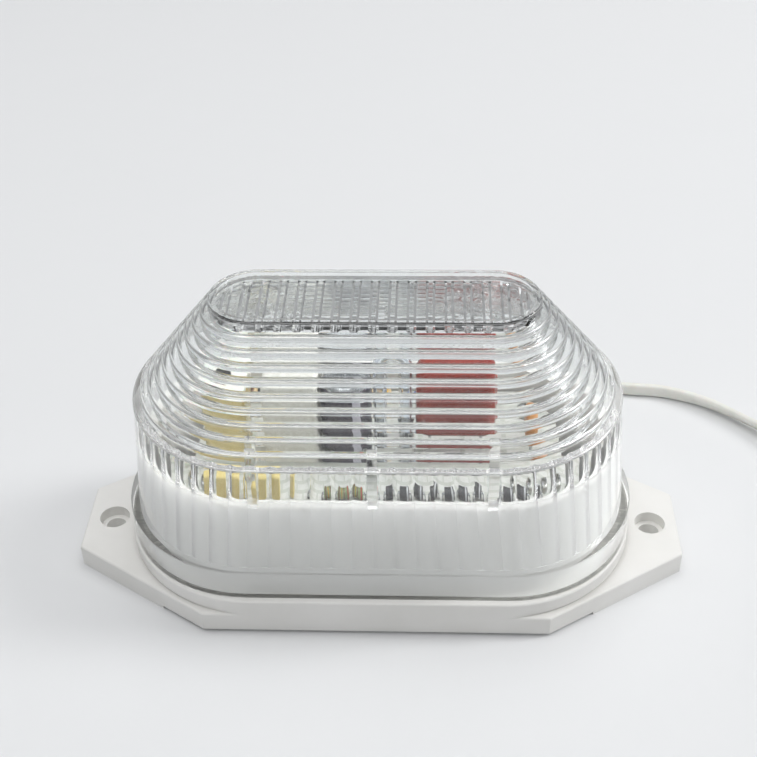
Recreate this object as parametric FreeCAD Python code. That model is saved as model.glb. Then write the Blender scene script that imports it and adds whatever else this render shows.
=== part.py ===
import FreeCAD, Part
import math
import os

# Compact xenon warning strobe: white two-eared base, clear ribbed lens, flash circuit on a board, flat lead.
# X runs from ear to ear, Y from front to rear, Z up from the mounting surface. Lengths are in millimetres.

V = FreeCAD.Vector
UP = V(0, 0, 1)
ALONG = V(1, 0, 0)
BACK = V(0, 1, 0)

# ---- base plate and ears
base_length = 122.0
base_depth = 52.8
front_edge_length = 67.0
ear_end_edge = 17.5
plate_thick = 4.9
foot_relief = 0.7
foot_pad_length = 18.6
ear_hole_inset = 5.5
ear_hole_r = 2.1
ear_counterbore_r = 3.1
ear_counterbore_depth = 2.4
edge_round = 0.45

# ---- plinth that carries the lens
ear_reach = 10.4
plinth_height = 3.5
foot_groove_height = 0.7
foot_groove_depth = 0.7
seal_width = 0.9
seal_height = 0.9
seal_inset = 0.5

# ---- upstand wall and floor of the base
wall_top_z = 30.3
wall_thick = 2.0
wall_gap = 0.45
floor_thick = 2.4

# ---- clear lens
end_ledge = 0.3
front_ledge = 1.25
flange_height = 6.6
skirt_set_in_end = 1.2
skirt_set_in_front = 0.25
skirt_height = 25.65
end_draft = 2.5
ridge_count = 10
ridge_rise = 2.07
ridge_tread = 1.62
ridge_round = 0.5
lens_wall = 1.75
flute_depth = 0.45
flute_pitch = 3.7
step_wall = 1.15
step_round = 0.85
top_rim = 1.35
top_recess = 0.8
top_panel = 1.6
top_rib_pitch = 3.4
top_rib_width = 1.7
top_rib_depth = 0.5
top_rib_slope = 0.45
stop_rib_width = 1.8
stop_rib_depth = 1.7
stop_rib_gap = 0.6
stop_rib_steps = 2

# ---- circuit board and its posts
board_z = 24.0
board_thick = 1.6
board_length = 72.0
board_gap = 2.4
board_corner = 8.0
post_r = 2.5
post_inset_x = 6.0
post_inset_y = 7.0
screw_r = 1.1
screw_hole_clear = 0.35
screw_head_r = 2.2
screw_head_height = 1.5
screw_bite = 6.0

# ---- component leads
lead_r = 0.3
lead_hole_clear = 0.15
lead_tail = 1.3
solder_r = 0.95
solder_height = 1.1

# ---- flash tube
tube_x = 3.1
tube_r = 1.3
tube_glass = 0.4
tube_leg_spacing = 4.9
tube_rise = 21.0
tube_seal = 2.2
holder_height = 3.0
holder_margin = 0.3
holder_depth = 5.0
electrode_r = 0.4
anode_r = 0.5
cathode_r = 0.7
electrode_reach = 3.2
trigger_wire_r = 0.15
trigger_turns = 5
standing_gap = 0.3

# ---- trigger transformer
transformer_gap = 2.85
bobbin_size_x = 9.6
bobbin_size_y = 10.4
bobbin_flange = 1.1
bobbin_height = 18.0
bobbin_tube_r = 2.4
winding_inset = 0.5
core_r = 1.5
core_clear = 0.05
core_proud = 0.6

# ---- ballast resistor in its ceramic case
ballast_width = 10.6
ballast_depth = 8.4
ballast_height = 17.6
ballast_lift = 0.8

# ---- reservoir capacitor
reservoir_r = 4.75
reservoir_height = 18.0
sleeve_thick = 0.15
bung_height = 2.6
bung_edge = 0.9
rolled_edge = 1.1

# ---- film capacitor
film_width = 15.4
film_depth = 6.8
film_height = 17.0
film_lift = 4.6
film_round = 2.6
film_lead_spacing = 10.0

# ---- small parts along the board's edges
row_inset = 3.0
resistor_r = 1.2
resistor_length = 6.6
cap_bulge = 0.12
diode_r = 1.35
diode_length = 5.2
diac_r = 0.9
diac_length = 3.8
axial_lift = 0.25
axial_reach = 1.2
axial_bend = 0.7
green_resistor_x = -5.0
diode_places = (6.0, 15.6, 25.2)
resistor_places = (-24.0, -12.5, -1.0)
diac_x = 8.6
thyristor_x = 18.5
thyristor_r = 2.4
thyristor_flat = 2.0
thyristor_height = 4.7
thyristor_lift = 3.0
thyristor_pitch = 1.3
thyristor_stagger = 1.6
thyristor_forward = 1.0
disc_x = 30.0
disc_y = 1.5
disc_r = 3.6
disc_thick = 2.2
disc_lift = 2.2
disc_lead_spacing = 5.0
timing_places = (-27.6, -20.2)
timing_width = 5.2
timing_depth = 2.6
timing_height = 6.0
timing_lift = 0.4
timing_round = 0.6
timing_lead_spacing = 2.5

# ---- supply lead
lead_x = 20.0
lead_width = 3.2
lead_thick = 1.7
lead_z = 4.75
gland_length = 6.0
gland_wall = 0.75
gland_taper = 0.55
gland_rim = 0.4
gland_flange = 1.2
gland_clear = 0.05
gland_inner = 0.8
gland_edge = 0.35
core_wire_r = 0.6
core_wire_spacing = 1.6
split_inset = 12.0
clamp_inset = 6.5
clamp_width = 4.4
clamp_end = 1.9
clamp_thick = 1.8
clamp_post_gap = 0.4
clamp_screw_r = 1.0
clamp_screw_head_r = 1.9
clamp_screw_head = 1.2
clamp_screw_bite = 2.6
clamp_post_r = 2.1
pilot_clear = 0.5
pad_y = 7.0
pad_spacing = 4.0

# ---- coil that the rest of the lead is wound into, placed from the lead's exit
coil_out = 96.0
coil_back = 7.6
coil_mean_r = 17.5
coil_width = 5.8
coil_height = 6.7
coil_edge = 1.6
tie_width = 2.6
tie_thick = 0.7
tail_out = 3.0
tail_forward = 19.2
tail_length = 14.0
tail_spread = 0.8
tail_lean = 0.12
tinned_length = 5.0
tinned_r = 0.4

# Route of the free lead, as (along X, back, up) from the exit; it rests on the surface where up is lead_rest.
lead_rest = lead_width / 2
lead_route = [
    (0.0, 0.0, lead_z),
    (0.0, 6.8, lead_z),
    (1.7, 13.2, 4.2),
    (6.2, 18.6, 2.6),
    (12.6, 22.4, lead_rest + 0.1),
    (20.4, 24.1, lead_rest),
    (28.4, 23.6, lead_rest),
    (36.4, 21.9, lead_rest),
    (45.0, 21.4, lead_rest),
    (54.6, 17.2, lead_rest),
    (63.0, 10.2, lead_rest),
    (71.0, 1.6, lead_rest + 0.8),
    (79.6, -5.4, lead_rest + 2.8),
]

# ---- sizes worked out from the ones above
half_length = base_length / 2
half_depth = base_depth / 2
ear_hole_x = half_length - ear_hole_inset
plinth_half_length = half_length - ear_reach
plinth_half_depth = half_depth
plinth_top_z = plate_thick + plinth_height
floor_z = foot_relief + floor_thick
flange_half_length = plinth_half_length - end_ledge
flange_half_depth = plinth_half_depth - front_ledge
flange_top_z = plinth_top_z + flange_height
skirt_foot_half_length = flange_half_length - skirt_set_in_end
skirt_foot_half_depth = flange_half_depth - skirt_set_in_front
skirt_half_length = skirt_foot_half_length - end_draft
skirt_half_depth = skirt_foot_half_depth
skirt_top_z = flange_top_z + skirt_height
lens_top_z = skirt_top_z + ridge_count * ridge_rise
cavity_half_depth = skirt_half_depth - lens_wall
cavity_half_length = skirt_half_length - lens_wall
foot_cavity_half_length = skirt_foot_half_length - lens_wall
cavity_corner_z = skirt_top_z - step_wall
wall_top_share = (wall_top_z - flange_top_z) / (cavity_corner_z - flange_top_z)
wall_half_depth = cavity_half_depth - flute_depth - wall_gap
wall_half_length = foot_cavity_half_length - wall_top_share * end_draft - flute_depth - wall_gap
tub_half_depth = wall_half_depth - wall_thick
tub_half_length = wall_half_length - wall_thick
board_top_z = board_z + board_thick
board_half_length = board_length / 2
board_half_depth = tub_half_depth - board_gap
post_x = board_half_length - post_inset_x
post_y = board_half_depth - post_inset_y
row_y = board_half_depth - row_inset
wall_inner_y = tub_half_depth
tube_half = tube_leg_spacing / 2 + tube_r
reservoir_x = tube_x - tube_half - standing_gap - sleeve_thick - reservoir_r
ballast_x = reservoir_x - reservoir_r - sleeve_thick - standing_gap - ballast_width / 2
transformer_x = ballast_x - ballast_width / 2 - transformer_gap - bobbin_size_x / 2
film_x = tube_x + tube_half + 2 * trigger_wire_r + standing_gap + film_width / 2
gland_tip_r = lead_width / 2 + gland_wall
gland_neck_r = gland_tip_r + gland_taper
gland_flange_r = gland_neck_r + gland_rim
clamp_screw_offset = lead_width / 2 + clamp_post_gap + clamp_post_r
clamp_length = 2 * (clamp_screw_offset + clamp_end)
coil_x = lead_x + coil_out
coil_y = half_depth + coil_back

lead_points = []
wide_points = []


# ---- shape helpers
def stadium_wire(reach, radius, z):
    """Outline with straight front and rear and half-round ends; reach is half the length."""
    mid = reach - radius
    front = Part.LineSegment(V(-mid, -radius, z), V(mid, -radius, z)).toShape()
    right = Part.Arc(V(mid, -radius, z), V(reach, 0, z), V(mid, radius, z)).toShape()
    rear = Part.LineSegment(V(mid, radius, z), V(-mid, radius, z)).toShape()
    left = Part.Arc(V(-mid, radius, z), V(-reach, 0, z), V(-mid, -radius, z)).toShape()
    return Part.Wire([front, right, rear, left])


def stadium(reach, radius, low, high):
    return Part.Face(stadium_wire(reach, radius, low)).extrude(UP * (high - low))


def stadium_loft(low_reach, low_radius, low, high_reach, high_radius, high):
    wires = [stadium_wire(low_reach, low_radius, low), stadium_wire(high_reach, high_radius, high)]
    return Part.makeLoft(wires, True, True)


def fluted_wire(reach, radius, z, straight_count, end_count):
    """Stadium outline made of shallow arcs, whose cusps point inwards."""
    mid = reach - radius
    cusp = radius - flute_depth
    corners = []
    crowns = []
    for i in range(straight_count):
        corners.append(V(-mid + 2 * mid * i / straight_count, -cusp, z))
        crowns.append(V(-mid + 2 * mid * (i + 0.5) / straight_count, -radius, z))
    for i in range(end_count):
        turn = -math.pi / 2 + math.pi * i / end_count
        crown_turn = turn + math.pi / end_count / 2
        corners.append(V(mid + cusp * math.cos(turn), cusp * math.sin(turn), z))
        crowns.append(V(mid + radius * math.cos(crown_turn), radius * math.sin(crown_turn), z))
    corners += [V(-p.x, -p.y, z) for p in corners]
    crowns += [V(-p.x, -p.y, z) for p in crowns]
    arcs = []
    for i, start in enumerate(corners):
        arcs.append(Part.Arc(start, crowns[i], corners[(i + 1) % len(corners)]).toShape())
    return Part.Wire(arcs)


def rod(x, y, low, high, radius):
    return Part.makeCylinder(radius, high - low, V(x, y, low))


def block(x, y, low, width, depth, height):
    return Part.makeBox(width, depth, height, V(x - width / 2, y - depth / 2, low))


def joined(shapes):
    whole = shapes[0].multiFuse(shapes[1:]) if len(shapes) > 1 else shapes[0]
    return whole.removeSplitter()


def group(shapes):
    return Part.makeCompound(shapes)


def rounded(shape, radius, chosen):
    return shape.makeFillet(radius, [e for e in shape.Edges if chosen(e)])


def level_edge(edge, z):
    box = edge.BoundBox
    return abs(box.ZMin - z) < 1e-4 and abs(box.ZMax - z) < 1e-4


def upright_edge(edge):
    box = edge.BoundBox
    return box.XLength < 1e-4 and box.YLength < 1e-4


def bent_path(points):
    """Straight runs joined by the largest tangent arcs that fit: the edges, arc radii and length."""
    edges = []
    radii = []
    start = points[0]
    for before, corner, after in zip(points, points[1:], points[2:]):
        run_in = corner - before
        run_out = after - corner
        turn = run_in.getAngle(run_out)
        trim = 0.45 * min(run_in.Length, run_out.Length)
        radius = trim / math.tan(turn / 2)
        first = corner - V(run_in).normalize() * trim
        last = corner + V(run_out).normalize() * trim
        chord_mid = (first + last) * 0.5
        reach = radius / math.cos(turn / 2)
        inward = V(chord_mid - corner).normalize()
        edges.append(Part.LineSegment(start, first).toShape())
        edges.append(Part.Arc(first, corner + inward * (reach - radius), last).toShape())
        radii.append(round(radius, 1))
        start = last
    edges.append(Part.LineSegment(start, points[-1]).toShape())
    return edges, radii, sum(e.Length for e in edges)


def tube_along(points, radius):
    edges, radii, length = bent_path(points)
    profile = Part.Wire(Part.makeCircle(radius, points[0], points[1] - points[0]))
    tube = Part.Wire(edges).makePipeShell([profile], True, False)
    return tube, radii, length


def drilled(shape, places, radius, low, high):
    return shape.cut(group([rod(x, y, low, high, radius) for x, y in places]))


# ---- base
def plate_outline():
    end = ear_end_edge / 2
    front = front_edge_length / 2
    quarter = [(front, -half_depth), (half_length, -end), (half_length, end), (front, half_depth)]
    return quarter + [(-x, -y) for x, y in quarter]


def make_plate():
    points = [V(x, y, 0) for x, y in plate_outline()]
    plate = Part.Face(Part.makePolygon(points + points[:1])).extrude(UP * plate_thick)
    plate = rounded(plate, edge_round, lambda e: level_edge(e, plate_thick) or upright_edge(e))
    relief = base_length - 2 * foot_pad_length
    return plate.cut(block(0, 0, -1, relief, base_depth + 2, foot_relief + 1))


def make_plinth():
    foot = stadium(plinth_half_length - foot_groove_depth, plinth_half_depth, foot_relief,
                   plate_thick + foot_groove_height)
    body = stadium(plinth_half_length, plinth_half_depth, plate_thick + foot_groove_height, plinth_top_z)
    body = rounded(body, edge_round, lambda e: level_edge(e, plinth_top_z))
    return [foot, body]


def post_places():
    return [(sx * post_x, sy * post_y) for sx in (-1, 1) for sy in (-1, 1)]


def clamp_places():
    y = wall_inner_y - clamp_inset
    return [(lead_x - clamp_screw_offset, y), (lead_x + clamp_screw_offset, y)]


def make_base():
    wall = stadium(wall_half_length, wall_half_depth, plate_thick, wall_top_z)
    wall = rounded(wall, edge_round, lambda e: level_edge(e, wall_top_z))
    outer = joined([make_plate(), *make_plinth(), wall])
    outer = outer.cut(stadium(tub_half_length, tub_half_depth, floor_z, wall_top_z + 1))
    posts = [rod(x, y, floor_z - 0.5, board_z, post_r) for x, y in post_places()]
    clamp_top = lead_z + lead_thick / 2
    posts += [rod(x, y, floor_z - 0.5, clamp_top, clamp_post_r) for x, y in clamp_places()]
    base = joined([outer, *posts])
    pilot_low = board_z - screw_bite - screw_r - pilot_clear
    clamp_pilot_low = clamp_top - clamp_screw_bite - clamp_screw_r - pilot_clear
    cuts = [rod(x, y, pilot_low, board_z + 1, screw_r) for x, y in post_places()]
    cuts += [rod(x, y, clamp_pilot_low, clamp_top + 1, clamp_screw_r) for x, y in clamp_places()]
    for side in (-1, 1):
        x = side * ear_hole_x
        cuts.append(rod(x, 0, -1, plate_thick + 1, ear_hole_r))
        cuts.append(rod(x, 0, plate_thick - ear_counterbore_depth, plate_thick + 1, ear_counterbore_r))
    mouth = V(lead_x, wall_inner_y - gland_inner, lead_z)
    cuts.append(Part.makeCylinder(gland_tip_r + gland_clear, half_depth - mouth.y + 1, mouth, BACK))
    inset = seal_inset + seal_width
    ring = stadium(flange_half_length - seal_inset, flange_half_depth - seal_inset,
                   plinth_top_z - seal_height, plinth_top_z + 1)
    ring = ring.cut(stadium(flange_half_length - inset, flange_half_depth - inset,
                            plinth_top_z - seal_height - 1, plinth_top_z + 2))
    return base.cut(group(cuts)).cut(ring)


def make_seal():
    inset = seal_inset + seal_width
    low = plinth_top_z - seal_height
    ring = stadium(flange_half_length - seal_inset, flange_half_depth - seal_inset, low, plinth_top_z)
    return ring.cut(stadium(flange_half_length - inset, flange_half_depth - inset, low - 1, plinth_top_z + 1))


# ---- lens
def ridge_solid(index):
    """One step of the lens slope, a stadium slab with a rounded upper edge."""
    inset = index * ridge_tread
    top = skirt_top_z + index * ridge_rise
    slab = stadium(skirt_half_length - inset, skirt_half_depth - inset, top - ridge_rise * 1.5, top)
    return rounded(slab, ridge_round, lambda e: level_edge(e, top))


def lens_cavity():
    """Hollow of the lens: smooth foot, fluted skirt, then steps that follow the outer ones."""
    roof_z = lens_top_z - top_recess - top_panel
    foot = stadium_loft(foot_cavity_half_length, cavity_half_depth, plinth_top_z - 1,
                        foot_cavity_half_length, cavity_half_depth, flange_top_z + 0.5)
    straight = round(2 * (cavity_half_length - cavity_half_depth) / flute_pitch)
    ends = round(math.pi * cavity_half_depth / flute_pitch)
    fluted = Part.makeLoft([
        fluted_wire(foot_cavity_half_length, cavity_half_depth, flange_top_z, straight, ends),
        fluted_wire(cavity_half_length, cavity_half_depth, cavity_corner_z, straight, ends),
    ], True, True)
    steps = []
    for i in range(1, ridge_count + 1):
        inset = i * ridge_tread
        top = min(cavity_corner_z + i * ridge_rise, roof_z)
        slab = stadium(cavity_half_length - inset, cavity_half_depth - inset, cavity_corner_z - 1, top)
        if i < ridge_count:
            slab = rounded(slab, step_round, lambda e: level_edge(e, top))
        steps.append(slab)
    return [foot, fluted, joined(steps)], roof_z


def stop_rib(x, side):
    """Rib inside the lens that stops just over the base's wall and sets the lens's height."""
    low = wall_top_z + stop_rib_gap
    outer = cavity_half_depth + lens_wall / 3
    inner = cavity_half_depth - stop_rib_depth
    high = skirt_top_z + stop_rib_steps * ridge_rise
    skin = skirt_half_depth - stop_rib_steps * ridge_tread - lens_wall
    points = [(outer, low), (inner, low), (skin - ridge_tread / 2, high - step_wall), (skin + 1, high - 0.2),
              (outer, skirt_top_z - 1)]
    corners = [V(x - stop_rib_width / 2, side * y, z) for y, z in points]
    return Part.Face(Part.makePolygon(corners + corners[:1])).extrude(ALONG * stop_rib_width)


def top_rib(x, roof_z, reach):
    """Rib with sloping sides across the underside of the top panel."""
    half = top_rib_width / 2
    foot = half - top_rib_slope
    low = roof_z - top_rib_depth
    points = [(-half, roof_z + 0.2), (-half, roof_z), (-foot, low), (foot, low), (half, roof_z),
              (half, roof_z + 0.2)]
    corners = [V(x + px, -reach, z) for px, z in points]
    return Part.Face(Part.makePolygon(corners + corners[:1])).extrude(BACK * 2 * reach)


def make_lens():
    flange = stadium(flange_half_length, flange_half_depth, plinth_top_z, flange_top_z)
    flange = rounded(flange, skirt_set_in_front * 0.8, lambda e: level_edge(e, flange_top_z))
    skirt = stadium_loft(skirt_foot_half_length, skirt_foot_half_depth, plinth_top_z + 1,
                         skirt_half_length, skirt_half_depth, skirt_top_z - ridge_rise)
    ridges = [ridge_solid(i) for i in range(ridge_count + 1)]
    outer = joined([flange, skirt, *ridges])
    cavity, roof_z = lens_cavity()
    for piece in cavity:
        outer = outer.cut(piece)
    top_inset = ridge_count * ridge_tread + top_rim
    top_reach = skirt_half_length - top_inset
    top_radius = skirt_half_depth - top_inset
    outer = outer.cut(stadium(top_reach, top_radius, lens_top_z - top_recess, lens_top_z + 1))
    count = int((top_reach - top_rib_width) / top_rib_pitch)
    ribs = []
    for i in range(-count, count + 1):
        ribs.append(top_rib(i * top_rib_pitch, roof_z, top_radius))
    top_ribs = joined(ribs).common(stadium(top_reach, top_radius, roof_z - top_rib_depth, roof_z + 0.2))
    mid = skirt_half_length - skirt_half_depth
    stops = [stop_rib(x, side) for x in (-mid, 0, mid) for side in (-1, 1)]
    return joined([outer, top_ribs, *stops])


# ---- board, screws and solder
def board_outline():
    x = board_half_length
    y = board_half_depth
    c = board_corner
    quarter = [(x - c, -y), (x, -y + c), (x, y - c), (x - c, y)]
    return quarter + [(-px, -py) for px, py in quarter]


def make_board():
    points = [V(x, y, board_z) for x, y in board_outline()]
    board = Part.Face(Part.makePolygon(points + points[:1])).extrude(UP * board_thick)
    low = board_z - 1
    high = board_top_z + 1
    board = drilled(board, post_places(), screw_r + screw_hole_clear, low, high)
    board = drilled(board, lead_points, lead_r + lead_hole_clear, low, high)
    return drilled(board, wide_points, electrode_r + lead_hole_clear, low, high)


def pan_screw(x, y, seat, bite, radius, head_r, head_height):
    shank = rod(x, y, seat - bite, seat, radius)
    point = Part.makeCone(radius * 0.35, radius, radius, V(x, y, seat - bite - radius))
    head = rod(x, y, seat, seat + head_height, head_r)
    head = rounded(head, head_height * 0.6, lambda e: level_edge(e, seat + head_height))
    slot = head_r * 1.1
    bar = head_r * 0.26
    cross = [block(x, y, seat + head_height * 0.45, slot, bar, head_height),
             block(x, y, seat + head_height * 0.45, bar, slot, head_height)]
    return joined([shank, point, head]).cut(joined(cross))


def make_board_screws():
    bite = board_thick + screw_bite
    screws = [pan_screw(x, y, board_top_z, bite, screw_r, screw_head_r, screw_head_height)
              for x, y in post_places()]
    return group(screws)


def solder_joint(x, y, radius):
    cone = Part.makeCone(radius + 0.15, solder_r, solder_height, V(x, y, board_z - solder_height))
    return cone.cut(rod(x, y, board_z - solder_height - 1, board_z + 1, radius))


def make_solder():
    joints = [solder_joint(x, y, lead_r) for x, y in lead_points]
    joints += [solder_joint(x, y, electrode_r) for x, y in wide_points]
    return group(joints)


def straight_lead(x, y, top):
    lead_points.append((x, y))
    return rod(x, y, board_z - lead_tail, top, lead_r)


def bent_lead(x, y, z, direction):
    """Lead of a lying part: out of the body's end, round a bend and down through the board."""
    far_x = x + direction * axial_reach
    lead_points.append((far_x, y))
    corner = far_x - direction * axial_bend
    slant = axial_bend * (1 - math.sqrt(0.5))
    bend_mid = V(far_x - direction * slant, y, z - slant)
    edges = [
        Part.LineSegment(V(x, y, z), V(corner, y, z)).toShape(),
        Part.Arc(V(corner, y, z), bend_mid, V(far_x, y, z - axial_bend)).toShape(),
        Part.LineSegment(V(far_x, y, z - axial_bend), V(far_x, y, board_z - lead_tail)).toShape(),
    ]
    profile = Part.Wire(Part.makeCircle(lead_r, V(x, y, z), ALONG))
    return Part.Wire(edges).makePipeShell([profile], True, False)


def lying_body(x, y, radius, length, edge):
    z = board_top_z + axial_lift + radius
    body = Part.makeCylinder(radius, length, V(x - length / 2, y, z), ALONG)
    leads = [bent_lead(x + side * length / 2, y, z, side) for side in (-1, 1)]
    return body.makeFillet(edge, body.Edges), leads


def dog_bone(x, y):
    """Film resistor: a slim body with a fatter cap at each end."""
    body, leads = lying_body(x, y, resistor_r, resistor_length, resistor_r * 0.45)
    waist = resistor_length * 0.5
    z = board_top_z + axial_lift + resistor_r
    start = V(x - waist / 2, y, z)
    sleeve = Part.makeCylinder(resistor_r * 2, waist, start, ALONG)
    sleeve = sleeve.cut(Part.makeCylinder(resistor_r - cap_bulge, waist, start, ALONG))
    return body.cut(sleeve), leads


# ---- flash tube
def tube_solid(radius, low, top):
    half = tube_leg_spacing / 2
    legs = [rod(tube_x + side * half, 0, low, top, radius) for side in (-1, 1)]
    ring = Part.makeTorus(half, radius, V(tube_x, 0, top), BACK)
    box = block(tube_x, 0, top, 4 * half + 4 * radius, 4 * radius, 2 * half + 2 * radius)
    return joined([ring.common(box), *legs])


def tube_feet():
    return [(tube_x - tube_leg_spacing / 2, 0), (tube_x + tube_leg_spacing / 2, 0)]


def make_flash_tube():
    foot = board_top_z + holder_height
    top = foot + tube_rise - tube_leg_spacing / 2 - tube_r
    glass = tube_solid(tube_r, foot, top)
    bore = tube_solid(tube_r - tube_glass, foot + tube_seal, top)
    glass = glass.cut(bore)
    for x, y in tube_feet():
        glass = glass.cut(rod(x, y, foot - 1, foot + tube_seal, electrode_r))
    return glass


def make_electrodes():
    foot = board_top_z + holder_height + tube_seal
    parts = []
    for (x, y), tip_r in zip(tube_feet(), (cathode_r, anode_r)):
        wide_points.append((x, y))
        pin = rod(x, y, board_z - lead_tail, foot, electrode_r)
        parts.append(joined([pin, rod(x, y, foot, foot + electrode_reach, tip_r)]))
    return group(parts)


def make_tube_holder():
    width = tube_leg_spacing + 2 * tube_r + 2 * holder_margin
    holder = block(tube_x, 0, board_top_z, width, holder_depth, holder_height)
    holder = rounded(holder, 0.6, lambda e: upright_edge(e) or level_edge(e, board_top_z + holder_height))
    return drilled(holder, tube_feet(), electrode_r, board_top_z - 1, board_top_z + holder_height + 1)


def make_trigger_wire():
    """Fine wire wound round one leg of the tube, with its tail running down to the board."""
    x = tube_x + tube_leg_spacing / 2
    ring_r = tube_r + trigger_wire_r
    low = board_top_z + holder_height + tube_seal + 2.0
    rings = []
    for i in range(trigger_turns):
        z = low + i * trigger_wire_r * 3
        rings.append(Part.makeTorus(ring_r, trigger_wire_r, V(x, 0, z), UP))
    tail_y = holder_depth / 2 + lead_r + 0.2
    lead_points.append((x, tail_y))
    link = Part.makeCylinder(trigger_wire_r, tail_y - tube_r - trigger_wire_r, V(x, ring_r, low), BACK)
    spine = rod(x, ring_r, low, low + (trigger_turns - 1) * trigger_wire_r * 3, trigger_wire_r)
    tail = rod(x, tail_y, board_z - lead_tail, low + trigger_wire_r, lead_r)
    return joined([*rings, spine, link, tail])


# ---- standing parts
def make_bobbin():
    low = board_top_z
    foot = block(transformer_x, 0, low, bobbin_size_x, bobbin_size_y, bobbin_flange)
    head = block(transformer_x, 0, low + bobbin_height - bobbin_flange, bobbin_size_x, bobbin_size_y,
                 bobbin_flange)
    flanges = [rounded(f, 0.8, upright_edge) for f in (foot, head)]
    tube = rod(transformer_x, 0, low, low + bobbin_height, bobbin_tube_r)
    hole = rod(transformer_x, 0, low - 1, low + bobbin_height + 1, core_r + core_clear)
    return joined([*flanges, tube]).cut(hole)


def make_winding():
    low = board_top_z + bobbin_flange
    height = bobbin_height - 2 * bobbin_flange
    coil = block(transformer_x, 0, low, bobbin_size_x - 2 * winding_inset, bobbin_size_y - 2 * winding_inset,
                 height)
    coil = rounded(coil, 2.4, upright_edge)
    return coil.cut(rod(transformer_x, 0, low - 1, low + height + 1, bobbin_tube_r))


def make_core():
    return rod(transformer_x, 0, board_top_z, board_top_z + bobbin_height + core_proud, core_r)


def make_transformer_pins():
    inset = 1.2
    x = bobbin_size_x / 2 - inset
    y = bobbin_size_y / 2 - inset
    corners = [(-x, -y), (-x, y), (x, -y), (x, y)]
    return group([straight_lead(transformer_x + px, py, board_top_z) for px, py in corners])


def make_ballast():
    low = board_top_z + ballast_lift
    case = block(ballast_x, 0, low, ballast_width, ballast_depth, ballast_height)
    return rounded(case, 0.9, lambda e: upright_edge(e) or level_edge(e, low + ballast_height))


def make_ballast_leads():
    top = board_top_z + ballast_lift
    offset = ballast_width * 0.26
    return group([straight_lead(ballast_x + side * offset, 0, top) for side in (-1, 1)])


def make_reservoir_can():
    low = board_top_z
    can = rod(reservoir_x, 0, low, low + reservoir_height, reservoir_r)
    can = rounded(can, rolled_edge, lambda e: level_edge(e, low + reservoir_height))
    groove_z = low + bung_height * 0.6
    groove = Part.makeTorus(reservoir_r + 0.35, 0.7, V(reservoir_x, 0, groove_z), UP)
    vent = [block(reservoir_x, 0, low + reservoir_height - 0.25, reservoir_r * 1.1, 0.35, 1),
            block(reservoir_x, 0, low + reservoir_height - 0.25, 0.35, reservoir_r * 1.1, 1)]
    bore = rod(reservoir_x, 0, low - 1, low + bung_height, reservoir_r - bung_edge)
    return can.cut(groove).cut(bore).cut(joined(vent))


def make_reservoir_bung():
    return rod(reservoir_x, 0, board_top_z, board_top_z + bung_height, reservoir_r - bung_edge)


def make_reservoir_sleeve():
    low = board_top_z + bung_height
    height = reservoir_height - bung_height - rolled_edge
    outer = rod(reservoir_x, 0, low, low + height, reservoir_r + sleeve_thick)
    return outer.cut(rod(reservoir_x, 0, low - 1, low + height + 1, reservoir_r))


def make_reservoir_leads():
    return group([straight_lead(reservoir_x + side * 2.5, 0, board_top_z) for side in (-1, 1)])


def make_film():
    low = board_top_z + film_lift
    body = block(film_x, 0, low, film_width, film_depth, film_height)
    return body.makeFillet(film_round, body.Edges)


def make_film_leads():
    top = board_top_z + film_lift
    return group([straight_lead(film_x + side * film_lead_spacing / 2, 0, top) for side in (-1, 1)])


def make_thyristor():
    low = board_top_z + thyristor_lift
    y = row_y - thyristor_forward
    body = rod(thyristor_x, y, low, low + thyristor_height, thyristor_r)
    flat = block(thyristor_x, y + thyristor_flat + thyristor_r, low - 1, 4 * thyristor_r,
                 2 * thyristor_r, thyristor_height + 2)
    return body.cut(flat)


def make_thyristor_leads():
    top = board_top_z + thyristor_lift
    y = row_y - thyristor_forward
    places = [(-thyristor_pitch, y), (0, y + thyristor_stagger), (thyristor_pitch, y)]
    return group([straight_lead(thyristor_x + x, py, top) for x, py in places])


def make_disc():
    z = board_top_z + disc_lift + disc_r
    disc = Part.makeCylinder(disc_r, disc_thick, V(disc_x - disc_thick / 2, disc_y, z), ALONG)
    return disc.makeFillet(disc_thick * 0.4, [e for e in disc.Edges if e.Curve.TypeId == "Part::GeomCircle"])


def make_disc_leads():
    foot = board_top_z + disc_lift + disc_r
    half = disc_lead_spacing / 2
    drop = math.sqrt(disc_r ** 2 - half ** 2)
    return group([straight_lead(disc_x, disc_y + side * half, foot - drop + 0.5) for side in (-1, 1)])


def make_timing():
    low = board_top_z + timing_lift
    boxes = [block(x, -row_y, low, timing_width, timing_depth, timing_height) for x in timing_places]
    return group([box.makeFillet(timing_round, box.Edges) for box in boxes])


def make_timing_leads():
    top = board_top_z + timing_lift
    half = timing_lead_spacing / 2
    return group([straight_lead(x + side * half, -row_y, top) for x in timing_places for side in (-1, 1)])


# ---- lead, gland and clamp
def flat_section(x, y, z):
    half = (lead_width - lead_thick) / 2
    r = lead_thick / 2
    low = Part.LineSegment(V(x - half, y, z - r), V(x + half, y, z - r)).toShape()
    right = Part.Arc(V(x + half, y, z - r), V(x + half + r, y, z), V(x + half, y, z + r)).toShape()
    high = Part.LineSegment(V(x + half, y, z + r), V(x - half, y, z + r)).toShape()
    left = Part.Arc(V(x - half, y, z + r), V(x - half - r, y, z), V(x - half, y, z - r)).toShape()
    return Part.Face(Part.Wire([low, right, high, left]))


def split_y():
    return wall_inner_y - split_inset


def make_inner_lead():
    return flat_section(lead_x, split_y(), lead_z).extrude(BACK * (half_depth - split_y()))


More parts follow.
